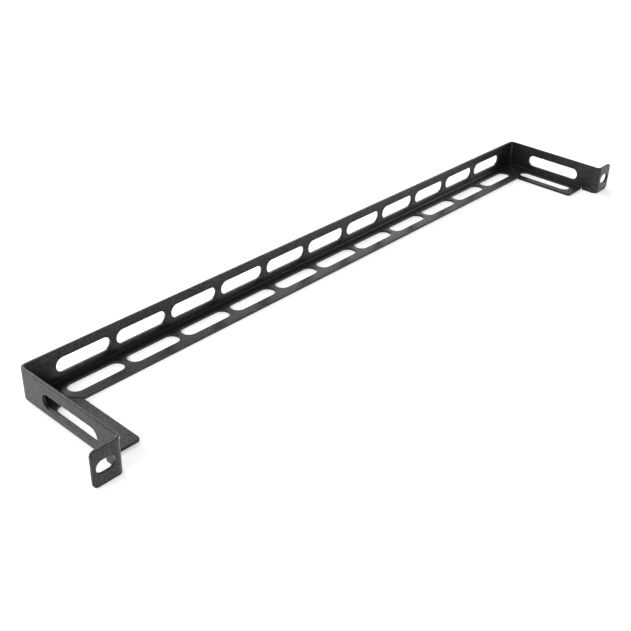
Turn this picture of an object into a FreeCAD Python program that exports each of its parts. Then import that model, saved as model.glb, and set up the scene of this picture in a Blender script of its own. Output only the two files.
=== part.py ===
import FreeCAD, Part
import math
import operator
import os

import Sketcher
from FreeCAD import Vector

# Horizontal cable manager for a 19-inch rack: a lacing bar folded from one slotted steel sheet.
# A web runs across the back, an arm comes forward from each end of it, and an ear turns outward
# at the front of each arm. The web and both arms have a flange turned inward along the foot.
#
# Frame: +X along the bar, +Y from the ears towards the web, +Z up, in millimetres. The origin is
# at the middle of the bar and of its depth, on the plane that the flanges rest on.

SIZES = {
    # the sheet and its folds
    "sheet": (1.6, "thickness of the coated sheet"),
    "corner_radius": (1.9, "inside radius of the upright folds, from web to arm to ear"),
    "foot_radius": (1.2, "inside radius of the folds along the foot"),
    "panel_width": (482.6, "overall width across the ears"),
    "ear_reach": (15.8, "outer face of an arm to the outer end of its ear"),
    "depth": (80.5, "front face of the ears to back face of the web"),
    "rise": (20.8, "height of the web, the arms and the ears"),
    "ear_corner": (2.8, "radius of the ears' outer corners"),
    # the inward flanges
    "web_flange": (21.5, "back face of the web to the edge of its flange"),
    "arm_flange": (20.7, "outer face of an arm to the edge of its flange"),
    "flange_setback": (12.6, "front face of the ears to the front end of an arm flange"),
    "flange_corner": (2.4, "radius of the front corner of an arm flange"),
    "seam_gap": (0.6, "width of the mitred seam between two flanges"),
    "relief": (0.3, "slit at the front end of an arm's fold along the foot"),
    # the row of slots along the bar
    "slot_count": (11, "slots in the web, and in its flange"),
    "row_inset": (19.85, "outer face of an arm to the nearest end of the web's slots"),
    "web_bridge": (3.95, "metal between one web slot and the next"),
    "web_slot_width": (8.8, "across"),
    "web_slot_rise": (10.7, "foot of the bar to the centre of a slot"),
    "flange_bridge": (3.55, "metal between one flange slot and the next"),
    "flange_slot_width": (9.8, "across"),
    "flange_slot_inset": (10.7, "back face of the web to the centre of a slot"),
    # the long slot in each arm, and the one in its flange
    "arm_slot_front": (18.1, "front face of the ears to the front end of the slot"),
    "arm_slot_back": (19, "back face of the web to the back end of the slot"),
    "arm_slot_width": (8.5, "across"),
    "arm_slot_rise": (10.2, "foot of the bar to the centre of the slot"),
    "arm_flange_slot_front": (18.6, "front face of the ears to the front end of the slot"),
    "arm_flange_slot_back": (18.4, "back face of the web to the back end of the slot"),
    "arm_flange_slot_width": (9.7, "across"),
    "arm_flange_slot_inset": (10.3, "outer face of the arm to the centre of the slot"),
    # the slot for a rack screw in each ear
    "ear_slot_length": (10.7, "end to end"),
    "ear_slot_width": (7.4, "across"),
    "ear_slot_rise": (10.3, "foot of the bar to the centre of the slot"),
    "ear_slot_inset": (7.6, "outer end of the ear to the centre of the slot"),
}

NODE = "lacing_bar"
UP = Vector(0, 0, 1)


class Length:
    """A length as its number and as the spreadsheet formula that it follows."""

    def __init__(self, number, formula):
        self.number, self.formula = number, formula

    def join(self, sign, operate, other):
        if not isinstance(other, Length):
            other = Length(other, repr(other))
        formula = f"({self.formula} {sign} {other.formula})"
        return Length(operate(self.number, other.number), formula)

    def __add__(self, other):
        return self.join("+", operator.add, other)

    def __sub__(self, other):
        return self.join("-", operator.sub, other)

    def __mul__(self, other):
        return self.join("*", operator.mul, other)

    def __truediv__(self, other):
        return self.join("/", operator.truediv, other)

    def __neg__(self):
        return self * -1


def size(name):
    return Length(float(SIZES[name][0]), f"Sizes.{name}")


def spot(x, y, z=None):
    """The numbers of two or three Lengths as a vector."""
    return Vector(x.number, y.number, z.number if z else 0)


ZERO = Length(0.0, "0")

sheet = size("sheet")
corner_inside = size("corner_radius")
corner_outside = corner_inside + sheet
foot_inside = size("foot_radius")
foot_outside = foot_inside + sheet
half_panel = size("panel_width") / 2
half_body = half_panel - size("ear_reach")
rise = size("rise")
back = size("depth") / 2
front = -back
# the inner faces of the web and of the arm, and where the round corner between them starts
web_face = back - sheet
arm_face = half_body - sheet
web_end = half_body - corner_outside
arm_end = back - corner_outside
# the free edges of the flanges
web_edge = back - size("web_flange")
arm_edge = half_body - size("arm_flange")
flange_front = front + size("flange_setback")


def make_size_sheet(doc):
    """The spreadsheet of driving dimensions: a name, a plain number and a note in each row."""
    table = doc.addObject("Spreadsheet::Sheet", "Sizes")
    for row, (name, (number, note)) in enumerate(SIZES.items(), start=1):
        table.set(f"A{row}", name)
        table.set(f"B{row}", str(number))
        table.set(f"C{row}", note)
        table.setAlias(f"B{row}", name)
    doc.recompute()


class Profile:
    """A sketch on one of a body's origin planes, with every dimension tied to the spreadsheet."""

    def __init__(self, body, name, plane, offset=ZERO):
        self.sketch = body.newObject("Sketcher::SketchObject", name)
        support = next(item for item in body.Origin.OriginFeatures if item.Role == plane)
        self.sketch.AttachmentSupport = (support, "")
        self.sketch.MapMode = "FlatFace"
        self.sketch.setExpression("AttachmentOffset.Base.z", offset.formula)

    def line(self, start, end, construction=False):
        return self.sketch.addGeometry(Part.LineSegment(start, end), construction)

    def arc(self, middle, radius, start, end):
        """An arc that runs counterclockwise about its middle from start to end."""
        angles = [math.atan2(point.y - middle.y, point.x - middle.x) for point in (start, end)]
        if angles[1] <= angles[0]:
            angles[1] += 2 * math.pi
        circle = Part.Circle(middle, UP, radius)
        return self.sketch.addGeometry(Part.ArcOfCircle(circle, *angles), False)

    def rule(self, kind, *items):
        self.sketch.addConstraint(Sketcher.Constraint(kind, *items))

    def tie(self, kind, *items):
        """A dimension, whose last item is the Length that it follows."""
        constraint = Sketcher.Constraint(kind, *items[:-1], items[-1].number)
        index = self.sketch.addConstraint(constraint)
        self.sketch.setExpression(f"Constraints[{index}]", items[-1].formula)

    def place(self, curve, point, x=None, y=None):
        """Hold a point of a curve at a distance from the origin along either axis or both."""
        for kind, axis, length in (("DistanceX", -2, x), ("DistanceY", -1, y)):
            if length is ZERO:
                self.rule("PointOnObject", curve, point, axis)
            elif length:
                self.tie(kind, -1, 1, curve, point, length)

    def outline(self, corners):
        """A closed outline with its sides along the axes, from corners (x, y) or (x, y, radius).

        Neighbouring corners share the one Length that places the side between them.
        """
        ends, sides = [], []
        for index, (x, y, *radius) in enumerate(corners):
            neighbours = corners[index - 1], corners[(index + 1) % len(corners)]
            ways = [(spot(*other[:2]) - spot(x, y)).normalize() for other in neighbours]
            reach = radius[0].number if radius else 0
            ends.append([spot(x, y) + way * reach for way in ways])
        for index, (x, y, *_) in enumerate(corners):
            following = (index + 1) % len(corners)
            sides.append(self.line(ends[index][1], ends[following][0]))
            if corners[following][1] is y:
                self.rule("Horizontal", sides[-1])
                self.place(sides[-1], 1, y=y)
            else:
                self.rule("Vertical", sides[-1])
                self.place(sides[-1], 1, x=x)
        for index, (x, y, *radius) in enumerate(corners):
            if radius:
                middle = ends[index][0] + ends[index][1] - spot(x, y)
                self.turn(sides[index - 1], sides[index], middle, *ends[index], *radius)
            else:
                self.rule("Coincident", sides[index - 1], 2, sides[index], 1)

    def turn(self, before, after, middle, start, end, radius):
        """A round corner from the end of one side to the start of the next."""
        counterclockwise = (start - middle).cross(end - middle).z > 0
        if counterclockwise:
            arc, entry, leave = self.arc(middle, radius.number, start, end), 1, 2
        else:
            arc, entry, leave = self.arc(middle, radius.number, end, start), 2, 1
        self.rule("Tangent", before, 2, arc, entry)
        self.rule("Tangent", arc, leave, after, 1)
        self.tie("Radius", arc, radius)

    def obround(self, x, y, length, width, upright=False):
        """A slot with round ends about (x, y), along the sketch's first axis or its second."""
        radius = width / 2
        span = length - width
        along = Vector(0, 1, 0) if upright else Vector(1, 0, 0)
        across = UP.cross(along) * radius.number
        first = spot(x, y) - along * (span.number / 2)
        second = first + along * span.number
        arcs = [
            self.arc(first, radius.number, first + across, first - across),
            self.arc(second, radius.number, second - across, second + across),
        ]
        sides = [self.line(first - across, second - across), self.line(second + across, first + across)]
        for arc, side, other in ((arcs[0], sides[0], arcs[1]), (arcs[1], sides[1], arcs[0])):
            self.rule("Tangent", arc, 2, side, 1)
            self.rule("Tangent", side, 2, other, 1)
        self.rule("Vertical" if upright else "Horizontal", arcs[0], 3, arcs[1], 3)
        self.rule("Equal", *arcs)
        self.tie("Radius", arcs[0], radius)
        if upright:
            self.tie("DistanceY", arcs[0], 3, arcs[1], 3, span)
            self.place(arcs[0], 3, x, y - span / 2)
        else:
            self.tie("DistanceX", arcs[0], 3, arcs[1], 3, span)
            self.place(arcs[0], 3, x - span / 2, y)

    def seam(self, inner, outer, width):
        """A straight gap of the given width between two points, open past the inner one."""
        start, end = spot(*inner), spot(*outer)
        along = (end - start).normalize() * width.number
        across = UP.cross(along) / 2
        mouth = start - along
        centreline = self.line(mouth, end, construction=True)
        corner = self.sketch.addGeometry(Part.Point(start), True)
        self.place(corner, 1, *inner)
        self.place(centreline, 2, *outer)
        self.rule("PointOnObject", corner, 1, centreline)
        self.tie("Distance", centreline, 1, corner, 1, width)
        loop = [mouth - across, end - across, end + across, mouth + across]
        sides = [self.line(loop[index], loop[(index + 1) % 4]) for index in range(4)]
        for index in range(4):
            self.rule("Coincident", sides[index - 1], 2, sides[index], 1)
        for side, middle in ((sides[1], 2), (sides[3], 1)):
            self.rule("Symmetric", side, 1, side, 2, centreline, middle)
            self.rule("Perpendicular", side, centreline)
            self.tie("Distance", side, 1, side, 2, width)


def extrude(kind, profile, name, length=None, towards_normal=True):
    """Pad or Pocket a profile to one side, by a length or, without one, through everything."""
    body = profile.sketch.getParent()
    body.Document.recompute()
    feature = body.newObject(f"PartDesign::{kind}", name)
    feature.Profile = profile.sketch
    feature.Reversed = towards_normal == (kind == "Pocket")
    if length:
        feature.setExpression("Length", length.formula)
    else:
        feature.Type = "ThroughAll"
    body.Document.recompute()
    return feature


def round_edges(body, name, radius, middles):
    """Fillet the edges whose boxes have their middles at the given points."""
    edges = enumerate(body.Tip.Shape.Edges, start=1)
    named = [
        f"Edge{number}" for number, edge in edges
        if any(edge.BoundBox.Center.isEqual(middle, 1e-4) for middle in middles)
    ]
    feature = body.newObject("PartDesign::Fillet", name)
    feature.Base = (feature.BaseFeature, named)
    feature.setExpression("Radius", radius.formula)
    body.Document.recompute()


def fold_strip(body):
    """Half of the upright strip in one run of sheet: web, corner, arm, corner and ear."""
    outline = Profile(body, "StripOutline", "XY_Plane")
    ear_back = front + sheet
    outline.outline([
        (ZERO, web_face),
        (arm_face, web_face, corner_inside),
        (arm_face, front, corner_outside),
        (half_panel, front),
        (half_panel, ear_back),
        (half_body, ear_back, corner_inside),
        (half_body, back, corner_outside),
        (ZERO, back),
    ])
    extrude("Pad", outline, "Strip", rise)
    outline = Profile(body, "SlitOutline", "XY_Plane")
    slit = flange_front - size("relief")
    outline.outline([
        (arm_face, slit), (half_body, slit), (half_body, flange_front), (arm_face, flange_front)
    ])
    extrude("Pocket", outline, "Slit", foot_outside + size("relief"))


def round_foot(body, name, radius, side, wall, level):
    """One side of the folds along the foot: the web's, the round corner's and the arm's."""
    round_edges(body, name, radius, [
        spot(web_end / 2, wall, level),
        spot((web_end + side) / 2, (arm_end + wall) / 2, level),
        spot(side, (arm_end + flange_front) / 2, level),
    ])


def fold_flanges(body):
    """The inward flanges of the web and of the arm, parted by a mitred seam as far as their folds."""
    outline = Profile(body, "FlangeOutline", "XY_Plane")
    outline.outline([
        (ZERO, web_edge), (arm_edge, web_edge), (arm_edge, flange_front),
        (arm_face, flange_front), (arm_face, web_face), (ZERO, web_face),
    ])
    extrude("Pad", outline, "Flanges", sheet)
    round_foot(body, "FoldsInside", foot_inside, arm_face, web_face, sheet)
    round_foot(body, "FoldsOutside", foot_outside, half_body, back, ZERO)
    outline = Profile(body, "SeamOutline", "XY_Plane")
    fold_start = (half_body - foot_outside, back - foot_outside)
    outline.seam((arm_edge, web_edge), fold_start, size("seam_gap"))
    extrude("Pocket", outline, "Seam", foot_outside)
    round_edges(body, "FlangeCorner", size("flange_corner"), [spot(arm_edge, flange_front, sheet / 2)])


def shape_ear(body):
    """The rounded outer corners of the ear, and the slot for its rack screw."""
    tip = [spot(half_panel, front + sheet / 2, level) for level in (ZERO, rise)]
    round_edges(body, "EarCorners", size("ear_corner"), tip)
    outline = Profile(body, "EarSlotOutline", "XZ_Plane")
    outline.obround(
        half_panel - size("ear_slot_inset"), size("ear_slot_rise"),
        size("ear_slot_length"), size("ear_slot_width"),
    )
    extrude("Pocket", outline, "EarSlot")


def slot_arm(body):
    """The long slot in the arm, and the one in its flange."""
    slot_front, slot_back = front + size("arm_slot_front"), back - size("arm_slot_back")
    outline = Profile(body, "ArmSlotOutline", "YZ_Plane")
    outline.obround(
        (slot_front + slot_back) / 2, size("arm_slot_rise"),
        slot_back - slot_front, size("arm_slot_width"),
    )
    extrude("Pocket", outline, "ArmSlot")
    slot_front, slot_back = front + size("arm_flange_slot_front"), back - size("arm_flange_slot_back")
    outline = Profile(body, "ArmFlangeSlotOutline", "XY_Plane")
    outline.obround(
        half_body - size("arm_flange_slot_inset"), (slot_front + slot_back) / 2,
        slot_back - slot_front, size("arm_flange_slot_width"), upright=True,
    )
    extrude("Pocket", outline, "ArmFlangeSlot")


def mirror_half(body):
    """The whole bar from its half."""
    middle = next(item for item in body.Origin.OriginFeatures if item.Role == "YZ_Plane")
    whole = body.newObject("PartDesign::Mirrored", "WholeBar")
    whole.TransformMode = "Whole shape"
    whole.MirrorPlane = (middle, [""])
    body.Tip = whole
    body.Document.recompute()


def slot_web(body):
    """The row of slots along the web, and the row along its flange."""
    web_bridge, flange_bridge = size("web_bridge"), size("flange_bridge")
    row_length = (half_body - size("row_inset")) * 2
    pitch = (row_length + web_bridge) / size("slot_count")
    first = (pitch - web_bridge - row_length) / 2
    outline = Profile(body, "WebSlotOutline", "XZ_Plane")
    outline.obround(first, size("web_slot_rise"), pitch - web_bridge, size("web_slot_width"))
    web_slot = extrude("Pocket", outline, "WebSlot", towards_normal=False)
    outline = Profile(body, "FlangeSlotOutline", "XY_Plane")
    outline.obround(
        first, back - size("flange_slot_inset"), pitch - flange_bridge, size("flange_slot_width")
    )
    flange_slot = extrude("Pocket", outline, "FlangeSlot")
    row = body.newObject("PartDesign::LinearPattern", "SlotRow")
    row.Originals = [web_slot, flange_slot]
    row.Direction = (outline.sketch, ["H_Axis"])
    row.Mode = "Spacing"
    row.setExpression("Offset", pitch.formula)
    row.setExpression("Occurrences", size("slot_count").formula)
    body.Tip = row
    body.Document.recompute()


def make_bar(doc):
    body = doc.addObject("PartDesign::Body", "LacingBar")
    body.Label = NODE
    body.Placement = FreeCAD.Placement()
    fold_strip(body)
    fold_flanges(body)
    shape_ear(body)
    slot_arm(body)
    mirror_half(body)
    slot_web(body)
    return body


def check(doc, body):
    """Stop if anything failed to build, or if the bar isn't one sound solid."""
    doc.recompute()
    for item in doc.Objects:
        if "Invalid" in item.State or "Error" in item.State:
            raise RuntimeError(f"{item.Name} did not build: {item.State}")
    shape = body.Shape
    if shape.isNull() or not shape.isValid() or len(shape.Solids) != 1:
        raise RuntimeError(f"{body.Label} is not one valid solid")


def main():
    doc = FreeCAD.newDocument("CableManager")
    make_size_sheet(doc)
    bar = make_bar(doc)
    check(doc, bar)
    os.makedirs("parts", exist_ok=True)
    bar.Shape.exportStep(f"parts/{NODE}.step")
    box = bar.Shape.BoundBox
    print(f"{NODE}: {box.XLength:.2f} x {box.YLength:.2f} x {box.ZLength:.2f} mm, {bar.Shape.Volume:.0f} mm3")


main()
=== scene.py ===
import math

import bmesh
import bpy
from mathutils import Matrix, Vector


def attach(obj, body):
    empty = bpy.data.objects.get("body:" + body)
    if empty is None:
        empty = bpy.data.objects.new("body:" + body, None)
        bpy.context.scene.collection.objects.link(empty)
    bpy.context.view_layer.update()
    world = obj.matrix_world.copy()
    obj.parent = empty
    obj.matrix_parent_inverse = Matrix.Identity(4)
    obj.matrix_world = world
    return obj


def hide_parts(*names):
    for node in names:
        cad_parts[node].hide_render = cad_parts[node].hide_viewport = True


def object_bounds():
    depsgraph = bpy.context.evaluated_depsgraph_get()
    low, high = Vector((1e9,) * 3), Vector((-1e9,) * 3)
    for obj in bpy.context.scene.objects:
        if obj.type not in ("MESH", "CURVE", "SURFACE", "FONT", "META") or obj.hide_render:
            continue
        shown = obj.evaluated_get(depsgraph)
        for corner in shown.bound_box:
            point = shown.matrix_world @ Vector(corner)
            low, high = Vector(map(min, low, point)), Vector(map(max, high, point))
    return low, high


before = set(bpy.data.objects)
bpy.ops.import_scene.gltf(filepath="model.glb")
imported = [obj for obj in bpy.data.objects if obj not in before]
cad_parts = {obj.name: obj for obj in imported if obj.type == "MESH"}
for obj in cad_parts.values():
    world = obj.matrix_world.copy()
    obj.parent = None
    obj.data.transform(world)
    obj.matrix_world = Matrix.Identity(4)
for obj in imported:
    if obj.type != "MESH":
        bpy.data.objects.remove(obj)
cad_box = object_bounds()

# Lengths are in metres. X runs along the bar, Y from its ears to its web, and Z is up.


# ---------- nodes ----------

class Graph:
    """Adds nodes to the tree of a material or of the world, and links them."""

    def __init__(self, owner):
        owner.use_nodes = True
        self.tree = owner.node_tree
        self.tree.nodes.clear()

    def add(self, kind, inputs=None, **settings):
        """Adds a node. An input is a value, or the socket that it is linked to."""
        node = self.tree.nodes.new(kind)
        for name, value in settings.items():
            setattr(node, name, value)
        for name, value in (inputs or {}).items():
            if isinstance(value, bpy.types.NodeSocket):
                self.tree.links.new(value, node.inputs[name])
            else:
                node.inputs[name].default_value = value
        return node

    def noise(self, place, scale, detail, roughness=0.5):
        inputs = {"Vector": place, "Scale": scale, "Detail": detail, "Roughness": roughness}
        return self.add("ShaderNodeTexNoise", inputs).outputs["Fac"]

    def spread(self, value, start, end, low, high):
        """Maps a value that runs from start to end onto low to high."""
        inputs = {"Value": value, "From Min": start, "From Max": end, "To Min": low, "To Max": high}
        return self.add("ShaderNodeMapRange", inputs, clamp=True).outputs["Result"]

    def mix(self, factor, a, b):
        """Mixes two colours. The node's sockets share their names, so they are given by number."""
        return self.add("ShaderNodeMix", {0: factor, 6: a, 7: b}, data_type="RGBA").outputs[2]

    def math(self, operation, a, b):
        return self.add("ShaderNodeMath", {0: a, 1: b}, operation=operation).outputs["Value"]

    def background_rays(self):
        """1 for the rays that show the background: those seen directly, in gloss or through glass."""
        rays = self.add("ShaderNodeLightPath").outputs
        seen = self.math("MAXIMUM", rays["Is Camera Ray"], rays["Is Glossy Ray"])
        return self.math("MAXIMUM", seen, rays["Is Transmission Ray"])


# ---------- the bar's surface ----------

DEEP_BLACK = (0.005, 0.005, 0.0052, 1)
SOFT_BLACK = (0.008, 0.008, 0.0082, 1)
SPECKLE_GREY = (0.014, 0.014, 0.0143, 1)
EDGE_GREY = (0.050, 0.050, 0.051, 1)


def powder_coat():
    """Satin black powder coat: a finely pebbled skin, thinner and smoother along the edges."""
    material = bpy.data.materials.new("satin_black_powder_coat")
    graph = Graph(material)
    place = graph.add("ShaderNodeTexCoord").outputs["Object"]
    grain = graph.noise(place, scale=2600.0, detail=3.0, roughness=0.6)
    peel = graph.noise(place, scale=700.0, detail=2.0)
    cloud = graph.noise(place, scale=18.0, detail=3.0)
    pointiness = graph.add("ShaderNodeNewGeometry").outputs["Pointiness"]
    edge = graph.spread(pointiness, start=0.52, end=0.60, low=0.0, high=1.0)

    softness = graph.spread(cloud, start=0.3, end=0.7, low=0.0, high=1.0)
    skin = graph.mix(softness, DEEP_BLACK, SOFT_BLACK)
    specks = graph.spread(grain, start=0.35, end=0.65, low=0.0, high=0.5)
    speckled = graph.mix(specks, skin, SPECKLE_GREY)
    wear = graph.math("MULTIPLY", edge, 0.15)
    colour = graph.mix(wear, speckled, EDGE_GREY)

    satin = graph.spread(grain, start=0.3, end=0.7, low=0.33, high=0.41)
    smoothing = graph.math("MULTIPLY", edge, 0.06)
    roughness = graph.math("SUBTRACT", satin, smoothing)
    pebble = graph.noise(place, scale=1150.0, detail=3.0, roughness=0.65)
    gloss = graph.spread(pebble, start=0.34, end=0.66, low=0.17, high=0.75)

    fine_height = graph.math("MULTIPLY", grain, 0.4)
    height = graph.math("ADD", fine_height, peel)
    bump = graph.add("ShaderNodeBump", {"Height": height, "Strength": 0.5, "Distance": 0.0001})
    shader = graph.add("ShaderNodeBsdfPrincipled", {
        "Base Color": colour, "Roughness": roughness, "Normal": bump.outputs["Normal"],
        "IOR": 1.5, "Specular IOR Level": gloss, "Sheen Weight": 0.06, "Sheen Roughness": 0.5,
    })
    graph.add("ShaderNodeOutputMaterial", {"Surface": shader.outputs["BSDF"]})
    return material


# ---------- the bar ----------

BODY_HALF = 0.2255  # from the bar's middle to an arm's outer face
FOOT_FOLD = 0.0028  # the sheet's thickness and the inside radius of the folds along the foot

# The mitred seams between the flanges stop here, at either end of the bar, low in the foot folds. The
# edges around that place stay sharp.
SEAM_END = (BODY_HALF - FOOT_FOLD, cad_box[1].y - FOOT_FOLD)
SEAM_END_RADIUS = 0.0014
SEAM_END_HEIGHT = 0.004

CUT_ANGLE = math.radians(60)  # the sheet's cut edges turn by more than this
SMOOTH_ANGLE = math.radians(35)  # the facets of its folds and round ends turn by less

EASING = 0.00035  # width of the eased edge along the sheet's outline
SLOT_SHARE = 0.5  # a slot's edges are eased by this share of it
SLOT_REACH = 0.05  # edges that meet and together reach less far than this belong to a slot

FACE_AREA_WEIGHT = 95  # out of 100: large faces decide how the surface is shaded
SAME_AREA = 1e-8  # square metres by which two faces count as equally large


def is_at_seam_end(edge):
    """Whether an edge touches the place where one of the seams stops."""
    return any(
        corner.co.z < SEAM_END_HEIGHT
        and math.hypot(abs(corner.co.x) - SEAM_END[0], corner.co.y - SEAM_END[1]) < SEAM_END_RADIUS
        for corner in edge.verts
    )


def chains(edges):
    """Groups edges that meet: each slot's rims are groups of their own, apart from the sheet's outline."""
    left = set(edges)
    while left:
        chain, waiting = [], [left.pop()]
        while waiting:
            edge = waiting.pop()
            chain.append(edge)
            for corner in edge.verts:
                for other in corner.link_edges:
                    if other in left:
                        left.remove(other)
                        waiting.append(other)
        yield chain


def reach(chain):
    """The longest side of the box around a chain of edges."""
    places = [corner.co for edge in chain for corner in edge.verts]
    return max(
        max(place[axis] for place in places) - min(place[axis] for place in places)
        for axis in range(3)
    )


def mark_edges(form):
    """Gives the sheet's cut edges their share of the easing, and marks the other corners as sharp."""
    share = form.edges.layers.float.new("bevel_weight_edge")
    eased_edges = []
    for edge in form.edges:
        eased = edge.calc_face_angle_signed(0) > CUT_ANGLE and not is_at_seam_end(edge)
        if eased:
            eased_edges.append(edge)
        edge.smooth = eased or edge.calc_face_angle(0) < SMOOTH_ANGLE
    for chain in chains(eased_edges):
        for_slot = reach(chain) < SLOT_REACH
        for edge in chain:
            edge[share] = SLOT_SHARE if for_slot else 1.0


def coated_mesh(node):
    """The node's mesh in one skin, with its edges marked."""
    form = bmesh.new()
    form.from_mesh(node.data)
    bmesh.ops.remove_doubles(form, verts=form.verts, dist=1e-6)
    for face in form.faces:
        face.smooth = True
    mark_edges(form)
    mesh = bpy.data.meshes.new("coated_bar")
    form.to_mesh(mesh)
    form.free()
    return mesh


def dress_bar(node, material):
    """The bar as its CAD node has it, with the sheet's cut edges eased as the coat eases them."""
    mesh = coated_mesh(node)
    mesh.materials.append(material)
    piece = bpy.data.objects.new("coated_bar", mesh)
    bpy.context.collection.objects.link(piece)
    ease = piece.modifiers.new("EasedEdges", "BEVEL")
    ease.limit_method = "WEIGHT"
    ease.width = EASING
    ease.segments = 2
    ease.use_clamp_overlap = False
    ease.loop_slide = False
    even = piece.modifiers.new("FlatFaces", "WEIGHTED_NORMAL")
    even.keep_sharp = True
    even.weight = FACE_AREA_WEIGHT
    even.thresh = SAME_AREA
    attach(piece, "root")
    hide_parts("lacing_bar")


# ---------- the studio ----------

WHITE = (1, 1, 1, 1)
FLOOR_COLOUR = (0.85, 0.85, 0.85, 1)
FLOOR_HALF = 6
FLOOR_GAP = 0.00005  # between the floor and the bar's underside


def floor_paper():
    """White paper with a light of its own that shows directly, in gloss and through glass only.

    That light is low around the bar, so that its shadow shows, and higher farther out, where the lamps
    don't reach.
    """
    material = bpy.data.materials.new("white_floor")
    graph = Graph(material)
    paper = graph.add("ShaderNodeBsdfDiffuse", {"Color": FLOOR_COLOUR})
    seen = graph.background_rays()
    place = graph.add("ShaderNodeNewGeometry").outputs["Position"]
    distance = graph.add("ShaderNodeVectorMath", {0: place}, operation="LENGTH").outputs["Value"]
    level = graph.spread(distance, start=0.35, end=1.0, low=0.52, high=0.95)
    lift = graph.math("MULTIPLY", seen, level)
    glow = graph.add("ShaderNodeEmission", {"Color": WHITE, "Strength": lift})
    both = graph.add("ShaderNodeAddShader", {0: paper.outputs["BSDF"], 1: glow.outputs["Emission"]})
    graph.add("ShaderNodeOutputMaterial", {"Surface": both.outputs["Shader"]})
    return material


def add_floor():
    """A square floor just under the bar."""
    corners = [(x * FLOOR_HALF, y * FLOOR_HALF, 0) for x, y in ((-1, -1), (1, -1), (1, 1), (-1, 1))]
    mesh = bpy.data.meshes.new("floor")
    mesh.from_pydata(corners, [], [(0, 1, 2, 3)])
    mesh.materials.append(floor_paper())
    floor = bpy.data.objects.new("floor", mesh)
    floor.location.z = cad_box[0].z - FLOOR_GAP
    bpy.context.collection.objects.link(floor)


def add_world():
    """The room: a white sweep behind the bar and along the horizon, dim overhead and on the near side."""
    world = bpy.data.worlds.new("Studio")
    bpy.context.scene.world = world
    graph = Graph(world)
    way = graph.add("ShaderNodeTexCoord").outputs["Generated"]
    height = graph.add("ShaderNodeSeparateXYZ", {"Vector": way}).outputs["Z"]
    back_right = (0.707, 0.707, 0)
    behind = graph.add("ShaderNodeVectorMath", {0: way, 1: back_right}, operation="DOT_PRODUCT")
    wall = graph.spread(behind.outputs["Value"], start=0.1, end=0.35, low=0.0, high=1.0)
    wall_top = graph.spread(height, start=0.62, end=0.78, low=1.0, high=0.0)
    sweep = graph.math("MULTIPLY", wall, wall_top)
    horizon = graph.spread(height, start=0.06, end=0.14, low=1.0, high=0.05)
    room = graph.math("MAXIMUM", sweep, horizon)
    sky = graph.add("ShaderNodeBackground", {"Color": WHITE, "Strength": room})
    graph.add("ShaderNodeOutputWorld", {"Surface": sky.outputs["Background"]})


def add_softbox(name, place, side, watts):
    """A square lamp of the given side that faces the bar's middle."""
    data = bpy.data.lights.new(name, "AREA")
    data.size = side
    data.energy = watts
    lamp = bpy.data.objects.new(name, data)
    bpy.context.collection.objects.link(lamp)
    lamp.location = place
    lamp.rotation_mode = "QUATERNION"
    to_middle = Vector((0, 0, 0)) - Vector(place)
    lamp.rotation_quaternion = to_middle.to_track_quat("-Z", "Y")


def add_camera():
    """Left of the bar, in front of it and above, looking along it and down."""
    place = (-0.4177, -0.3259, 0.2902)
    turn = math.radians(50.5)  # from +Y towards +X
    fall = math.radians(30.08)  # below the horizon
    roll = math.radians(2.8)
    look = Vector((math.sin(turn) * math.cos(fall), math.cos(turn) * math.cos(fall), -math.sin(fall)))
    right = Vector((math.cos(turn), -math.sin(turn), 0))
    up = right.cross(look)
    axes = (
        right * math.cos(roll) + up * math.sin(roll),
        up * math.cos(roll) - right * math.sin(roll),
        -look,
    )
    data = bpy.data.cameras.new("Camera")
    data.lens = 53.95
    data.shift_x = -0.0504
    data.shift_y = -0.0305
    data.clip_start = 0.01
    data.clip_end = 50
    camera = bpy.data.objects.new("Camera", data)
    bpy.context.collection.objects.link(camera)
    camera.matrix_world = Matrix.Translation(place) @ Matrix(axes).transposed().to_4x4()
    bpy.context.scene.camera = camera


dress_bar(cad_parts["lacing_bar"], powder_coat())
add_floor()
add_world()
add_softbox("SoftboxBack", (0.0, 1.23, 0.86), side=0.7, watts=10)
add_softbox("SoftboxLeft", (-1.23, 0.05, 0.86), side=0.7, watts=12)
add_softbox("SoftboxFarSide", (1.03, 1.03, 0.363), side=0.7, watts=3.6)
add_softbox("SoftboxRight", (1.15, -0.5, 0.25), side=0.5, watts=3.3)
add_camera()
bpy.context.scene.view_settings.view_transform = "Standard"
